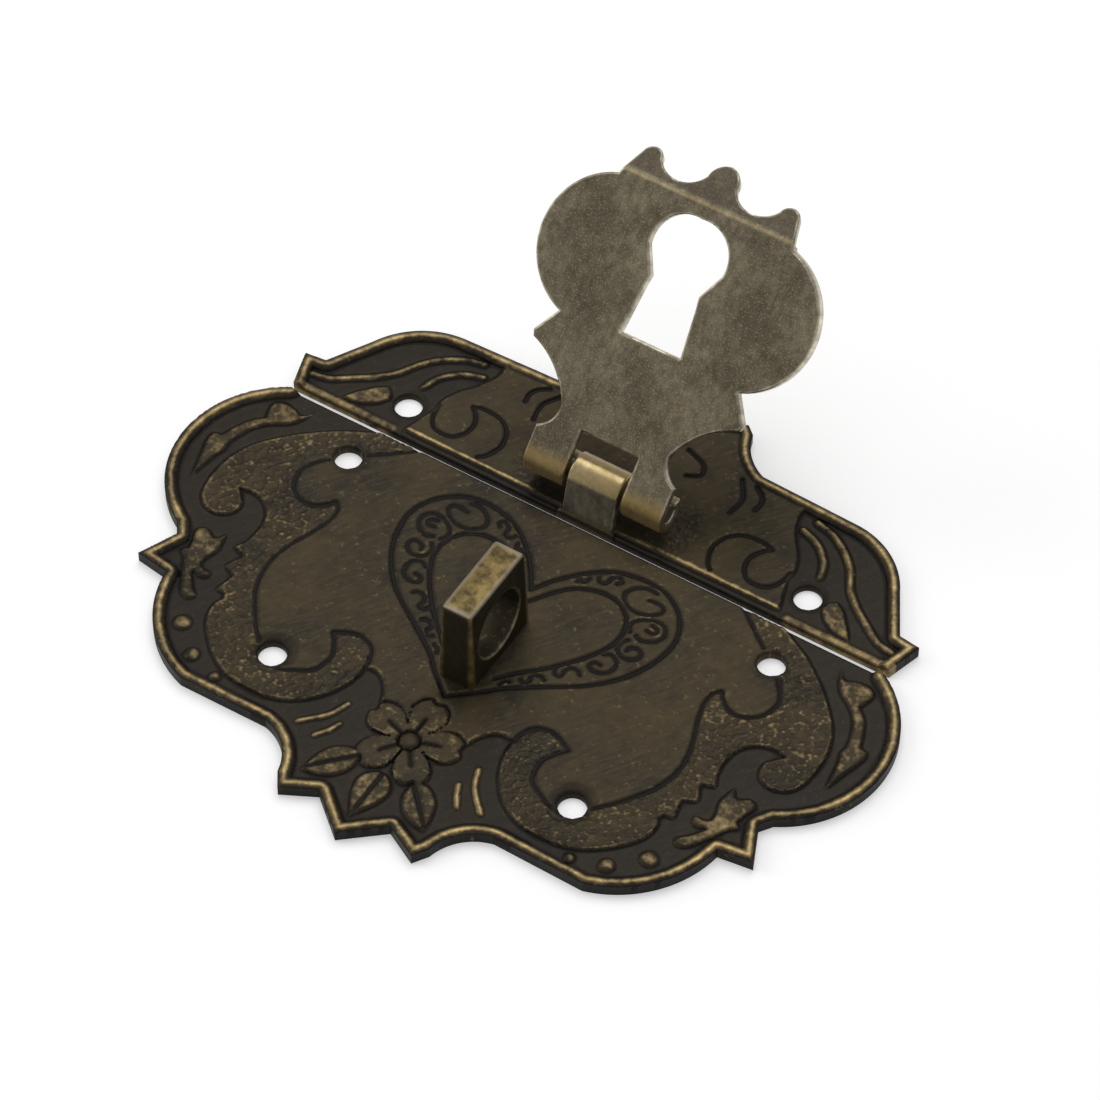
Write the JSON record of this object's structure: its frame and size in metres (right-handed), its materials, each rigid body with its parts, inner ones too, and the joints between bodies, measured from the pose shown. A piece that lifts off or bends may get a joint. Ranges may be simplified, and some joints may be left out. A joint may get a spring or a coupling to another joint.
{
  "type": "hasp latch",
  "caption": "Decorative box hasp: relief-stamped lid plate with a hinged keyhole flap, and a matching box plate whose riveted staple passes through the flap to take a small padlock.",
  "frame": {"origin": "on the back of the plates, under the middle of the hinge pin", "axes": "+X along the hinge pin, +Y from the lower plate to the upper plate, +Z out of the mounting surface"},
  "size_m": [0.062, 0.0552, 0.0215],
  "materials": {
    "plate_bronze": "dark antique bronze with rubbed high edges",
    "flap_bronze": "antique bronze with fine scratches",
    "staple_brass": "antique bronze, rubbed to brass on top",
    "pin_steel": "drawn wire"
  },
  "bodies": {
    "plates": {"upper_plate": "plate_bronze", "hinge_pin": "pin_steel", "lower_plate": "plate_bronze", "staple": "staple_brass"},
    "flap": {"hasp_flap": "flap_bronze"}
  },
  "joints": [
    {"name": "flap_hinge", "type": "hinge", "parent": "plates", "child": "flap", "pos_m": [0, 0, 0.0034], "axis": [1, 0, 0], "range_deg": [-45, 135]}
  ]
}
